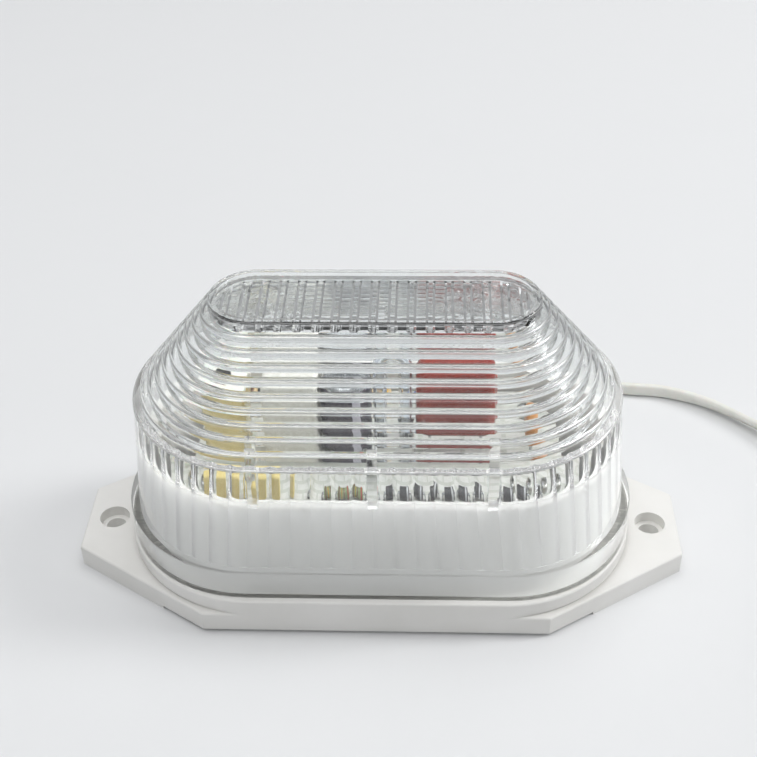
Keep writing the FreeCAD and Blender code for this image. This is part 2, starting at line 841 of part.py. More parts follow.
def make_gland():
    start = V(lead_x, wall_inner_y - gland_inner, lead_z)
    neck = Part.makeCylinder(gland_tip_r, half_depth - start.y, start, BACK)
    flange = Part.makeCylinder(gland_flange_r, gland_flange, V(lead_x, half_depth, lead_z), BACK)
    rear = half_depth + gland_flange
    flange = rounded(flange, gland_edge, lambda e: abs(e.BoundBox.YMin - rear) < 1e-4)
    taper_length = gland_length - gland_flange
    taper = Part.makeCone(gland_neck_r, gland_tip_r, taper_length,
                          V(lead_x, half_depth + gland_flange, lead_z), BACK)
    hole = flat_section(lead_x, start.y - 1, lead_z).extrude(BACK * (half_depth - start.y + gland_length + 2))
    return joined([neck, flange, taper]).cut(hole)


def make_clamp():
    y = wall_inner_y - clamp_inset
    low = lead_z + lead_thick / 2
    bar = block(lead_x, y, low, clamp_length, clamp_width, clamp_thick)
    bar = rounded(bar, 0.8, lambda e: upright_edge(e) or level_edge(e, low + clamp_thick))
    return drilled(bar, clamp_places(), clamp_screw_r + 0.15, low - 1, low + clamp_thick + 1)


def make_clamp_screws():
    seat = lead_z + lead_thick / 2 + clamp_thick
    bite = clamp_thick + clamp_screw_bite
    screws = [pan_screw(x, y, seat, bite, clamp_screw_r, clamp_screw_head_r, clamp_screw_head)
              for x, y in clamp_places()]
    return group(screws)


def make_core_wire(side):
    """Insulated core from the split lead, up to its pad under the board."""
    start_x = lead_x + side * core_wire_spacing / 2
    pad_x = lead_x + side * pad_spacing / 2
    y = split_y()
    wide_points.append((pad_x, pad_y))
    points = [
        V(start_x, y, lead_z),
        V(start_x, y - 4.2, lead_z),
        V(start_x + side * 0.4, y - 7.2, lead_z + 3.4),
        V(start_x + side * 0.9, y - 5.6, lead_z + 8.6),
        V(pad_x, pad_y, board_z - 6.0),
        V(pad_x, pad_y, board_z - solder_height - 0.9),
    ]
    tube, radii, length = tube_along(points, core_wire_r)
    print("core wire radii", radii, "length", round(length, 1))
    return tube


def make_core_ends():
    ends = []
    for side in (-1, 1):
        pad_x = lead_x + side * pad_spacing / 2
        ends.append(rod(pad_x, pad_y, board_z - solder_height - 0.9, board_top_z + 0.6, electrode_r))
    return group(ends)


def make_free_lead():
    radius = lead_width / 2
    route = [V(lead_x + x, half_depth + y, z) for x, y, z in lead_route]
    tube, radii, length = tube_along(route, radius)
    section = math.pi * radius ** 2
    print("free lead radii", radii, "length", round(length, 1), "volume ratio",
          round(tube.Volume / (section * length), 4))
    return tube


def make_lead_coil():
    outer = coil_mean_r + coil_width / 2
    ring = rod(coil_x, coil_y, 0, coil_height, outer)
    ring = ring.cut(rod(coil_x, coil_y, -1, coil_height + 1, coil_mean_r - coil_width / 2))
    return ring.makeFillet(coil_edge, [e for e in ring.Edges if e.BoundBox.ZLength < 1e-4])


def make_tie():
    """Small band round the coil's bundle of turns."""
    y = coil_y + coil_mean_r
    outer = block(coil_x, y, 0, tie_width, coil_width + 2 * tie_thick, coil_height + tie_thick)
    inner = block(coil_x, y, -1, tie_width + 2, coil_width, coil_height + 1)
    return outer.cut(inner)


def tail_starts():
    """Where each of the two cores leaves the coil's edge, and its direction."""
    starts = []
    for side in (-1, 1):
        place = V(coil_x + tail_out, coil_y - tail_forward + side * tail_spread, core_wire_r)
        starts.append((place, V(1, side * tail_lean, 0).normalize()))
    return starts


def make_tails():
    """The two cores at the far end, parted where they come off the coil."""
    cores = [Part.makeCylinder(core_wire_r, tail_length, place, lean) for place, lean in tail_starts()]
    return group(cores)


def make_tinned_ends():
    tips = [Part.makeCylinder(tinned_r, tinned_length, place + lean * tail_length, lean)
            for place, lean in tail_starts()]
    return group(tips)


def make_all():
    z_row = -row_y
    made = {
        "base": make_base(),
        "lens": make_lens(),
        "lens_seal": make_seal(),
        "board_screws": make_board_screws(),
        "flash_tube": make_flash_tube(),
        "tube_electrodes": make_electrodes(),
        "tube_holder": make_tube_holder(),
        "trigger_wire": make_trigger_wire(),
        "transformer_bobbin": make_bobbin(),
        "transformer_winding": make_winding(),
        "transformer_core": make_core(),
        "transformer_pins": make_transformer_pins(),
        "ballast_resistor": make_ballast(),
        "ballast_leads": make_ballast_leads(),
        "reservoir_can": make_reservoir_can(),
        "reservoir_sleeve": make_reservoir_sleeve(),
        "reservoir_bung": make_reservoir_bung(),
        "reservoir_leads": make_reservoir_leads(),
        "film_capacitor": make_film(),
        "film_capacitor_leads": make_film_leads(),
        "thyristor": make_thyristor(),
        "thyristor_leads": make_thyristor_leads(),
        "disc_capacitor": make_disc(),
        "disc_capacitor_leads": make_disc_leads(),
        "timing_capacitors": make_timing(),
        "timing_capacitor_leads": make_timing_leads(),
    }
    diodes = [lying_body(x, z_row, diode_r, diode_length, 0.25) for x in diode_places]
    resistors = [dog_bone(x, row_y) for x in resistor_places]
    damping, damping_leads = dog_bone(green_resistor_x, z_row)
    diac, diac_leads = lying_body(diac_x, row_y, diac_r, diac_length, 0.5)
    made["diodes"] = group([body for body, _ in diodes])
    made["resistors"] = group([body for body, _ in resistors])
    made["damping_resistor"] = damping
    made["diac"] = diac
    made["diode_leads"] = group([lead for _, leads in diodes for lead in leads])
    made["resistor_leads"] = group([lead for _, leads in resistors for lead in leads] + damping_leads)
    made["diac_leads"] = group(diac_leads)
    made["lead_inside"] = make_inner_lead()
    made["lead_gland"] = make_gland()
    made["lead_clamp"] = make_clamp()
    made["clamp_screws"] = make_clamp_screws()
    made["core_wire_left"] = make_core_wire(-1)
    made["core_wire_right"] = make_core_wire(1)
    made["core_wire_ends"] = make_core_ends()
    made["lead_free"] = make_free_lead()
    made["lead_coil"] = make_lead_coil()
    made["lead_tie"] = make_tie()
    made["lead_tails"] = make_tails()
    made["tinned_ends"] = make_tinned_ends()
    made["circuit_board"] = make_board()
    made["solder_joints"] = make_solder()
    return made


os.makedirs("parts", exist_ok=True)
for name, shape in make_all().items():
    if not shape.isValid() or shape.Volume <= 0:
        print("check", name, shape.isValid(), shape.Volume)
    shape.exportStep("parts/" + name + ".step")
print("lens top", round(lens_top_z, 2), "board half depth", round(board_half_depth, 2))
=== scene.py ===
import math

import bmesh
import bpy
from mathutils import Matrix, Vector


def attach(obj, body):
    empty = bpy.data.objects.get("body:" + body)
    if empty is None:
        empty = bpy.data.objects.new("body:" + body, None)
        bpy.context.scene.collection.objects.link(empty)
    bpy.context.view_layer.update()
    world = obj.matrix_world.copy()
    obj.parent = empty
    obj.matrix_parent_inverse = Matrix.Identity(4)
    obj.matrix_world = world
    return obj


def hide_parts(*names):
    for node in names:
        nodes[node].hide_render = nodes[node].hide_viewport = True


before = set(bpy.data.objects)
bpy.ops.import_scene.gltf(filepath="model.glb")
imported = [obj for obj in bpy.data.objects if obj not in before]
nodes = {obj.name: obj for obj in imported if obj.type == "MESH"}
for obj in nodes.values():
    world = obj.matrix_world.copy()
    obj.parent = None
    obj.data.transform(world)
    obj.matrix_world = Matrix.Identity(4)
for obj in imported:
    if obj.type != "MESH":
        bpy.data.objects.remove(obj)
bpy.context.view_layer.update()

mm = 0.001
metre = 1000  # in millimetres
scene = bpy.context.scene


def linear(code):
    # sRGB hex to the linear values that shaders take
    parts = [int(code[i:i + 2], 16) / 255 for i in (0, 2, 4)]
    return [p / 12.92 if p <= 0.04045 else ((p + 0.055) / 1.055) ** 2.4 for p in parts] + [1]


def add(tree, kind, inputs=None, feeds=None, **settings):
    # one node; inputs holds plain values or the sockets that feed it, feeds the sockets its outputs go to
    made = tree.nodes.new(kind)
    for key, value in settings.items():
        setattr(made, key, value)
    for key, value in (inputs or {}).items():
        if isinstance(value, bpy.types.NodeSocket):
            tree.links.new(value, made.inputs[key])
        else:
            made.inputs[key].default_value = value
    for key, target in (feeds or {}).items():
        tree.links.new(made.outputs[key], target)
    return made.outputs


def startMaterial(name, colour, roughness, **sockets):
    material = bpy.data.materials.new(name)
    material.use_nodes = True
    tree = material.node_tree
    shader = tree.nodes["Principled BSDF"]
    shader.inputs["Base Color"].default_value = linear(colour)
    shader.inputs["Roughness"].default_value = roughness
    for key, value in sockets.items():
        shader.inputs[key.replace("_", " ")].default_value = value
    place = add(tree, "ShaderNodeTexCoord")["Object"]
    return material, tree, shader, place


def dress(material, *names):
    for name in names:
        slots = nodes[name].data.materials
        slots.clear()
        slots.append(material)


camera = {"place": (0.010469, -0.193870, 0.194578), "turn": (51.861, 1.133, 2.081),
          "lens": 61.82, "sensor": 36, "nearest": 0.01}
cameraData = bpy.data.cameras.new("camera")
cameraData.lens = camera["lens"]
cameraData.sensor_width = camera["sensor"]
cameraData.clip_start = camera["nearest"]
cameraObject = bpy.data.objects.new("camera", cameraData)
cameraObject.location = camera["place"]
cameraObject.rotation_euler = [math.radians(a) for a in camera["turn"]]
scene.collection.objects.link(cameraObject)
scene.camera = cameraObject
print("camera placed")


lead = {
    "width": 3.2, "thick": 1.7, "groove": 0.1, "length": 0.787,
    # x, y, z in millimetres and the lead's tilt in degrees: 0 lies flat, 90 stands on edge
    "route": [
        (20.0, 26.4, 4.75, 0), (20.0, 33.2, 4.75, 0), (21.7, 39.6, 4.2, 15), (26.2, 45.0, 2.6, 45),
        (32.6, 48.8, 1.9, 75), (40.4, 50.5, 1.66, 90), (48.4, 50.0, 1.66, 90), (56.4, 48.3, 1.66, 90),
        (65.0, 47.8, 1.66, 90), (74.6, 43.6, 1.86, 112), (83.0, 36.6, 1.86, 134), (91.0, 28.0, 2.5, 110),
        (99.6, 21.0, 4.4, 90),
    ],
    "coilPlace": (116.0, 34.0), "steps": 14, "startAngle": 232, "endAngle": 270 + 360 * 6,
    # radius and height of each turn; it crosses to the next over the last share of the way round
    "turns": [(19.3, 4.85), (17.5, 4.85), (15.7, 4.85), (15.7, 1.64), (17.5, 1.64), (19.3, 1.64)],
    "crossing": 0.3, "wobble": 0.12, "wobblePace": 1.7,
    "end": [(118.0, 14.6, 1.9, 60), (120.6, 14.7, 1.35, 15)],
    "cornerSteps": 8, "smoothness": 6,
}


def coilPoints():
    # six turns in two layers, wound inwards on top and outwards below, each a little uneven
    step = 360 / lead["steps"]
    count = int((lead["endAngle"] - lead["startAngle"]) / step)
    fullness = (3 + math.cos(math.radians(step))) / 4  # a spline runs this much inside its points
    last = len(lead["turns"]) - 1
    points = []
    for i in range(count + 1):
        turn, done = divmod(i / lead["steps"], 1)
        now = lead["turns"][min(int(turn), last)]
        then = lead["turns"][min(int(turn) + 1, last)]
        share = max(0, done - (1 - lead["crossing"])) / lead["crossing"]
        share = share * share * (3 - 2 * share)
        wobble = lead["wobble"] * math.sin(i * lead["wobblePace"])
        radius = (now[0] + (then[0] - now[0]) * share + wobble) / fullness
        height = now[1] + (then[1] - now[1]) * share
        angle = math.radians(lead["startAngle"] + i * step)
        points.append((lead["coilPlace"][0] + radius * math.cos(angle),
                       lead["coilPlace"][1] + radius * math.sin(angle), height, 90))
    return points


def leadSection():
    # outline of the twin lead: two round cores side by side under one skin, with a faint valley between
    half = (lead["width"] - lead["thick"]) / 2
    bend = lead["thick"] / 2
    outline = []
    for side in (1, -1):
        for i in range(lead["cornerSteps"] + 1):
            angle = math.radians(180 / lead["cornerSteps"] * i - 90 * side)
            outline.append((side * half + bend * math.cos(angle), bend * math.sin(angle)))
        outline.append((0, side * (bend - lead["groove"])))
    data = bpy.data.curves.new("leadSection", "CURVE")
    data.dimensions = "2D"
    line = data.splines.new("POLY")
    line.points.add(len(outline) - 1)
    for point, (x, y) in zip(line.points, outline):
        point.co = (x * mm, y * mm, 0, 1)
    line.use_cyclic_u = True
    return bpy.data.objects.new("leadSection", data)


def curveMesh(data, name):
    holder = bpy.data.objects.new(name, data)
    scene.collection.objects.link(holder)
    bpy.context.view_layer.update()
    made = bpy.data.meshes.new_from_object(holder.evaluated_get(bpy.context.evaluated_depsgraph_get()))
    bpy.data.objects.remove(holder)
    return made


leadPoints = lead["route"] + coilPoints() + lead["end"]
leadData = bpy.data.curves.new("leadRoute", "CURVE")
leadData.dimensions = "3D"
leadData.twist_mode = "Z_UP"
leadData.resolution_u = lead["smoothness"]
leadLine = leadData.splines.new("NURBS")
leadLine.points.add(len(leadPoints) - 1)
for point, (x, y, z, tilt) in zip(leadLine.points, leadPoints):
    point.co = (x * mm, y * mm, z * mm, 1)
    point.tilt = math.radians(tilt)
leadLine.order_u = 3
leadLine.use_endpoint_u = True
leadPath = [tuple(v.co) for v in curveMesh(leadData, "leadPath").vertices]
sectionObject = leadSection()
leadData.bevel_mode = "OBJECT"
leadData.bevel_object = sectionObject
leadData.use_fill_caps = True
leadMesh = curveMesh(leadData, "leadSkin")
bpy.data.objects.remove(sectionObject)
bpy.data.curves.remove(leadData)
supplyLead = bpy.data.objects.new("supplyLead", leadMesh)
scene.collection.objects.link(supplyLead)
for face in leadMesh.polygons:
    face.use_smooth = True
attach(supplyLead, "housing")
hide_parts("lead_free", "lead_coil")
print("lead laid, points:", len(leadPoints), "path", len(leadPath))


studio = {
    "worldColour": "F5F6F8", "horizon": 0.12, "zenith": 0.50, "zenithHeight": 0.75, "backdrop": 0.62,
    "floorSize": 6.0, "floorColour": "E3E4E5", "floorShade": "E1E2E3",
    # place, aim and size in metres, power in watts
    "softboxes": [
        ("overheadSoftbox", (-0.10, 0.12, 1.25), (0, 0, 0), (1.2, 0.8), 7.2),
        ("rightSoftbox", (1.09, 0.18, 0.81), (0, 0, 0.03), (0.30, 0.55), 8.0),
        ("frontSoftbox", (-0.25, -1.05, 0.95), (0, 0, 0.02), (1.4, 0.8), 1.4),
    ],
}
world = bpy.data.worlds.new("studio")
world.use_nodes = True
tree = world.node_tree
background = tree.nodes["Background"]
background.inputs["Color"].default_value = linear(studio["worldColour"])
direction = add(tree, "ShaderNodeTexCoord")["Generated"]
height = add(tree, "ShaderNodeSeparateXYZ", {0: direction})[2]
glow = add(tree, "ShaderNodeMapRange", {
    "Value": height, "From Min": 0.0, "From Max": studio["zenithHeight"],
    "To Min": studio["horizon"], "To Max": studio["zenith"]}, interpolation_type="SMOOTHSTEP")["Result"]
# the backdrop that is looked at is pale; the room that lights the object is darker near the horizon
looked = add(tree, "ShaderNodeLightPath")["Is Camera Ray"]
add(tree, "ShaderNodeMix", {"Factor": looked, "A": glow, "B": studio["backdrop"]},
    {"Result": background.inputs["Strength"]})
scene.world = world
scene.view_settings.view_transform = "Standard"


def softbox(name, place, target, size, power):
    data = bpy.data.lights.new(name, "AREA")
    data.shape = "RECTANGLE"
    data.size, data.size_y = size
    data.energy = power
    box = bpy.data.objects.new(name, data)
    box.location = place
    box.rotation_euler = (Vector(target) - Vector(place)).to_track_quat("-Z", "Y").to_euler()
    scene.collection.objects.link(box)


for settings in studio["softboxes"]:
    softbox(*settings)


def meshObject(name, shape):
    mesh = bpy.data.meshes.new(name)
    shape.to_mesh(mesh)
    shape.free()
    made = bpy.data.objects.new(name, mesh)
    scene.collection.objects.link(made)
    return made


shape = bmesh.new()
bmesh.ops.create_grid(shape, x_segments=1, y_segments=1, size=studio["floorSize"] / 2)
floor = meshObject("floor", shape)
print("studio set")


bands = {
    "proud": 0.03, "segments": 28,
    # along X from each body's middle: place, width and radius in millimetres, then the paint's number
    "diode": {"middles": [(6.0, -14.85, 27.2), (15.6, -14.85, 27.2), (25.2, -14.85, 27.2)],
              "rings": [(1.55, 0.85, 1.46, 0)]},
    "resistor": {"middles": [(-24.0, 14.85, 27.05), (-12.5, 14.85, 27.05), (-1.0, 14.85, 27.05)],
                 "rings": [(-2.35, 0.6, 1.3, 0), (-0.95, 0.55, 1.08, 1), (0.25, 0.55, 1.08, 2),
                           (2.35, 0.6, 1.3, 3)]},
    "damper": {"middles": [(-5.0, -14.85, 27.05)],
               "rings": [(-2.35, 0.6, 1.3, 0), (-0.95, 0.55, 1.08, 3), (0.25, 0.55, 1.08, 0),
                         (2.35, 0.6, 1.3, 2)]},
}


def paintedBands(name, kind, paints):
    # rings of paint a hair proud of the bodies they mark
    shape = bmesh.new()
    turned = Matrix.Rotation(math.pi / 2, 4, "Y")
    for middle in bands[kind]["middles"]:
        for along, width, radius, paint in bands[kind]["rings"]:
            place = Vector((middle[0] + along, middle[1], middle[2])) * mm
            size = (radius + bands["proud"]) * mm
            made = bmesh.ops.create_cone(shape, cap_ends=True, segments=bands["segments"], radius1=size,
                                         radius2=size, depth=width * mm,
                                         matrix=Matrix.Translation(place) @ turned)
            for face in {f for vert in made["verts"] for f in vert.link_faces}:
                face.material_index = paint
                face.smooth = len(face.verts) == 4
    made = meshObject(name, shape)
    for paint in paints:
        made.data.materials.append(paint)
    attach(made, "housing")


finish = {"patchDetail": 4, "grainDetail": 3, "noiseLow": 0.3, "noiseHigh": 0.7, "glossSway": 0.2}


def surface(name, light, dark, roughness, patchMm, stretch=(1, 1, 1), grain=None, **sockets):
    # colour and gloss waver over patches of patchMm; grain is a pair, its size and its depth in millimetres
    material, tree, shader, place = startMaterial(name, light, roughness, **sockets)
    drawn = add(tree, "ShaderNodeMapping", {"Vector": place, "Scale": stretch})["Vector"]
    patches = add(tree, "ShaderNodeTexNoise", {
        "Vector": drawn, "Scale": metre / patchMm, "Detail": finish["patchDetail"]})["Fac"]
    middle = {"Value": patches, "From Min": finish["noiseLow"], "From Max": finish["noiseHigh"]}
    share = add(tree, "ShaderNodeMapRange", middle)["Result"]
    add(tree, "ShaderNodeMix", {"Factor": share, "A": linear(light), "B": linear(dark)},
        {"Result": shader.inputs["Base Color"]}, data_type="RGBA")
    sway = roughness * finish["glossSway"]
    add(tree, "ShaderNodeMapRange", {**middle, "To Min": roughness - sway, "To Max": roughness + sway},
        {"Result": shader.inputs["Roughness"]})
    if grain:
        fine = add(tree, "ShaderNodeTexNoise", {
            "Vector": drawn, "Scale": metre / grain[0], "Detail": finish["grainDetail"]})["Fac"]
        add(tree, "ShaderNodeBump", {"Height": fine, "Distance": grain[1] * mm},
            {"Normal": shader.inputs["Normal"]})
    return material, tree, shader, place


def letLightThrough(tree, seen, colour):
    # lamps shine straight through a clear wall, which only bends what the eye sees
    shadow = add(tree, "ShaderNodeLightPath")["Is Shadow Ray"]
    through = add(tree, "ShaderNodeBsdfTransparent", {"Color": linear(colour)})[0]
    add(tree, "ShaderNodeMixShader", {0: shadow, 1: seen, 2: through},
        {0: tree.nodes["Material Output"].inputs["Surface"]})


def overlap(tree, *masks):
    # where all the masks hold
    both = masks[0]
    for mask in masks[1:]:
        both = add(tree, "ShaderNodeMath", {0: both, 1: mask}, operation="MULTIPLY")[0]
    return both


# clear polycarbonate: glassy risers, satin step edges that catch the light as pale lines, a hazy fluted
# skirt that whitens the wall behind it, and stippled ends on the top panel
lensLook = {
    "roughness": 0.02, "polishMm": 9.0, "polishDetail": 2,
    # heights in metres between which the slope's steps lie, its flat treads, and the hazy skirt
    "slopeLow": 0.0375, "slopeHigh": 0.0612, "treadHigh": 0.0583, "hazeHigh": 0.0315, "hazeClear": 0.0335,
    "treadFrost": 0.06, "treadRoughness": 0.07, "edgeFrost": 0.45, "edgeGloss": 0.3, "edgeShine": 0.65,
    "haze": 0.5, "passed": 0.5,
    # how far up a face looks, from 0 for a wall to 1 for a floor
    "treadTilt": (0.9, 0.98), "edgeTilt": (0.25, 0.5), "edgeTop": (0.85, 0.97),
    # stipple on the top panel: cell and depth in millimetres, start height and reach along X in metres
    "stippleMm": 1.1, "stippleDepth": 0.05, "panelZ": 0.0560, "stippleFrom": 0.011, "stippleTo": 0.016,
    "fade": 0.0003,
}
clearLens, tree, shader, place = startMaterial("clearMouldedPolycarbonate", "FBFDFD", lensLook["roughness"],
                                               IOR=1.585, Transmission_Weight=1.0)
x, y, z = add(tree, "ShaderNodeSeparateXYZ", {0: place})
facing = add(tree, "ShaderNodeNewGeometry")
tilt = add(tree, "ShaderNodeSeparateXYZ", {0: facing["True Normal"]})[2]
flatness = add(tree, "ShaderNodeMath", {0: tilt}, operation="ABSOLUTE")[0]
outside = add(tree, "ShaderNodeMath", {0: 1.0, 1: facing["Backfacing"]}, operation="SUBTRACT")[0]
fromMiddle = add(tree, "ShaderNodeMath", {0: x}, operation="ABSOLUTE")[0]
masks = {}
for mask, value, low, high, start, end in (
        ("slope", z, lensLook["slopeLow"], lensLook["slopeLow"] + lensLook["fade"], 0, 1),
        ("flat", flatness, *lensLook["treadTilt"], 0, 1),
        ("leaning", tilt, *lensLook["edgeTilt"], 0, 1),
        ("belowTop", tilt, *lensLook["edgeTop"], 1, 0),
        ("skirt", z, lensLook["hazeHigh"], lensLook["hazeClear"], 1, 0),
        ("panel", z, lensLook["panelZ"], lensLook["panelZ"] + lensLook["fade"], 0, 1),
        ("ends", fromMiddle, lensLook["stippleFrom"], lensLook["stippleTo"], 0, 1)):
    masks[mask] = add(tree, "ShaderNodeMapRange", {
        "Value": value, "From Min": low, "From Max": high, "To Min": start, "To Max": end},
        interpolation_type="SMOOTHSTEP")["Result"]
belowRim = add(tree, "ShaderNodeMath", {0: z, 1: lensLook["slopeHigh"]}, operation="LESS_THAN")[0]
belowPanel = add(tree, "ShaderNodeMath", {0: z, 1: lensLook["treadHigh"]}, operation="LESS_THAN")[0]
onSlope = overlap(tree, masks["slope"], belowRim)
tread = overlap(tree, masks["flat"], onSlope, belowPanel)
edge = overlap(tree, masks["leaning"], masks["belowTop"], outside, onSlope)
skirt = overlap(tree, masks["skirt"], facing["Backfacing"])
evenness = add(tree, "ShaderNodeTexNoise", {
    "Vector": place, "Scale": metre / lensLook["polishMm"], "Detail": lensLook["polishDetail"]})["Fac"]
polish = add(tree, "ShaderNodeMapRange", {
    "Value": evenness, "From Min": finish["noiseLow"], "From Max": finish["noiseHigh"],
    "To Min": 0.0, "To Max": lensLook["roughness"]})["Result"]
add(tree, "ShaderNodeMath", {0: tread, 1: lensLook["treadRoughness"], 2: polish},
    {0: shader.inputs["Roughness"]}, operation="MULTIPLY_ADD")
cells = add(tree, "ShaderNodeTexVoronoi", {"Vector": place, "Scale": metre / lensLook["stippleMm"]},
            feature="SMOOTH_F1")["Distance"]
stipple = overlap(tree, cells, masks["panel"], masks["ends"])
add(tree, "ShaderNodeBump", {"Height": stipple, "Distance": lensLook["stippleDepth"] * mm},
    {"Normal": shader.inputs["Normal"]})
haze = add(tree, "ShaderNodeMath", {0: skirt, 1: lensLook["haze"]}, operation="MULTIPLY")[0]
frosting = add(tree, "ShaderNodeMath", {0: tread, 1: lensLook["treadFrost"], 2: haze},
               operation="MULTIPLY_ADD")[0]
edging = add(tree, "ShaderNodeMath", {0: edge, 1: lensLook["edgeFrost"]}, operation="MULTIPLY")[0]
passed = add(tree, "ShaderNodeBsdfTranslucent", {"Color": linear("FFFFFF")})[0]
returned = add(tree, "ShaderNodeBsdfDiffuse", {"Color": linear("FFFFFF")})[0]
scatter = add(tree, "ShaderNodeMixShader", {0: lensLook["passed"], 1: passed, 2: returned})[0]
shine = add(tree, "ShaderNodeBsdfGlossy", {"Roughness": lensLook["edgeGloss"]})[0]
gleam = add(tree, "ShaderNodeMixShader", {0: lensLook["edgeShine"], 1: scatter, 2: shine})[0]
hazy = add(tree, "ShaderNodeMixShader", {0: frosting, 1: shader.outputs[0], 2: scatter})[0]
edged = add(tree, "ShaderNodeMixShader", {0: edging, 1: hazy, 2: gleam})[0]
letLightThrough(tree, edged, "FAFAFA")
dress(clearLens, "lens")

# white ABS from a lightly eroded mould: even white with a faint warm patchiness and a soft satin grain
whiteAbs = surface("mouldedWhiteAbs", "ECEBE8", "E4E3DF", 0.4, 14, grain=(0.45, 0.006))[0]
dress(whiteAbs, "base", "tube_holder", "lead_clamp")

# nylon tie and bobbin: smoother and a little more see-through than the ABS
naturalNylon = surface("mouldedNaturalNylon", "EEEEE8", "E2E2DA", 0.32, 4, grain=(1.5, 0.02),
                       Subsurface_Weight=0.25, Subsurface_Scale=0.002)[0]
dress(naturalNylon, "lead_tie", "transformer_bobbin")

# silicone seal: matt grey-white, with dust held in the surface
siliconeSeal = surface("mouldedSiliconeRubber", "D9D9D5", "C9C9C4", 0.7, 2.5, grain=(0.3, 0.01))[0]
dress(siliconeSeal, "lens_seal")

# zinc plate: bright with cool and straw-coloured patches and fine turning lines on the heads
zincPlate = surface("zincPlatedSteel", "C4C7CB", "A9A596", 0.3, 1.6, (1, 1, 0.4), (0.12, 0.01), Metallic=1.0)[0]
dress(zincPlate, "board_screws", "clamp_screws")

# tinned wire: bright drawn wire with dull streaks along it
tinnedWire = surface("drawnTinnedCopper", "D0D2D4", "A9ABAE", 0.26, 0.7, (1, 1, 0.25), (0.2, 0.008),
                     Metallic=1.0)[0]
dress(tinnedWire, "tube_electrodes", "trigger_wire", "transformer_pins", "ballast_leads", "reservoir_leads",
      "film_capacitor_leads", "thyristor_leads", "disc_capacitor_leads", "diode_leads", "resistor_leads",
      "diac_leads", "timing_capacitor_leads", "tinned_ends")

# bare copper strands twisted together, with the solder's silver creeping over them
strandsLook = {"twistMm": 0.9, "twistDepth": 0.06}
strands, tree, shader, place = surface("twistedCopperStrands", "C98A5E", "9C6240", 0.32, 0.8, Metallic=1.0)
twist = add(tree, "ShaderNodeTexWave", {"Vector": place, "Scale": metre / strandsLook["twistMm"]},
            bands_direction="DIAGONAL")["Fac"]
add(tree, "ShaderNodeBump", {"Height": twist, "Distance": strandsLook["twistDepth"] * mm},
    {"Normal": shader.inputs["Normal"]})
dress(strands, "core_wire_ends")

# solder: mirror-bright hills with a frosted crust here and there
solder = surface("flowedSolder", "D3D5D8", "A7A9AD", 0.22, 0.9, grain=(0.8, 0.04), Metallic=1.0)[0]
dress(solder, "solder_joints")

# quartz tube: drawn clear glass, almost invisible but for its bright edges
quartzLook = {"wavesMm": 2.5, "waveDepth": 0.01, "waveDetail": 2, "stretch": (1, 1, 0.2)}
quartz, tree, shader, place = startMaterial("drawnQuartzGlass", "F8FBFF", 0.0, IOR=1.46,
                                            Transmission_Weight=1.0)
drawn = add(tree, "ShaderNodeMapping", {"Vector": place, "Scale": quartzLook["stretch"]})["Vector"]
waves = add(tree, "ShaderNodeTexNoise", {
    "Vector": drawn, "Scale": metre / quartzLook["wavesMm"], "Detail": quartzLook["waveDetail"]})["Fac"]
add(tree, "ShaderNodeBump", {"Height": waves, "Distance": quartzLook["waveDepth"] * mm},
    {"Normal": shader.inputs["Normal"]})
letLightThrough(tree, shader.outputs[0], "F6F8FA")
dress(quartz, "flash_tube")

# moulded epoxy: black with a dusty grey bloom
blackEpoxy = surface("mouldedBlackEpoxy", "39393B", "29292B", 0.38, 1.1, grain=(0.25, 0.006))[0]
dress(blackEpoxy, "diodes", "thyristor")

# polyester tape round the winding: glossy yellow turns, each edge a fine step, wrinkled over the wire below
tapeLook = {"turnMm": 26, "sway": 1.5, "swayScale": 2, "turnShare": 0.6, "depth": 0.12,
            "wrinkleMm": 1.8, "wrinkleDetail": 2, "wrinkleStretch": (1, 1, 2)}
tape, tree, shader, place = surface("wrappedPolyesterTape", "E8DAA6", "DDCB8C", 0.25, 3, Coat_Weight=0.4)
turns = add(tree, "ShaderNodeTexWave", {
    "Vector": place, "Scale": metre / tapeLook["turnMm"], "Distortion": tapeLook["sway"],
    "Detail Scale": tapeLook["swayScale"]}, bands_direction="Z")["Fac"]
squashed = add(tree, "ShaderNodeMapping", {"Vector": place, "Scale": tapeLook["wrinkleStretch"]})["Vector"]
wrinkles = add(tree, "ShaderNodeTexNoise", {
    "Vector": squashed, "Scale": metre / tapeLook["wrinkleMm"], "Detail": tapeLook["wrinkleDetail"]})["Fac"]
layers = add(tree, "ShaderNodeMath", {0: turns, 1: tapeLook["turnShare"], 2: wrinkles},
             operation="MULTIPLY_ADD")[0]
add(tree, "ShaderNodeBump", {"Height": layers, "Distance": tapeLook["depth"] * mm},
    {"Normal": shader.inputs["Normal"]})
dress(tape, "transformer_winding")

# ferrite: sintered dark grey, speckled and matt
ferrite = surface("sinteredFerrite", "3A3B3D", "232426", 0.55, 0.4, grain=(0.2, 0.02))[0]
dress(ferrite, "transformer_core")

# cement resistor: chalky white block with sand in the filling
cement = surface("castWhiteCement", "EFEEE8", "D8D6CD", 0.85, 0.9, grain=(0.5, 0.07))[0]
dress(cement, "ballast_resistor")

# drawn aluminium: fine upright lines
aluminium = surface("drawnAluminium", "D2D4D6", "B4B6B9", 0.28, 0.5, (1, 1, 0.04), (0.3, 0.008),
                    Metallic=1.0)[0]
dress(aluminium, "reservoir_can")

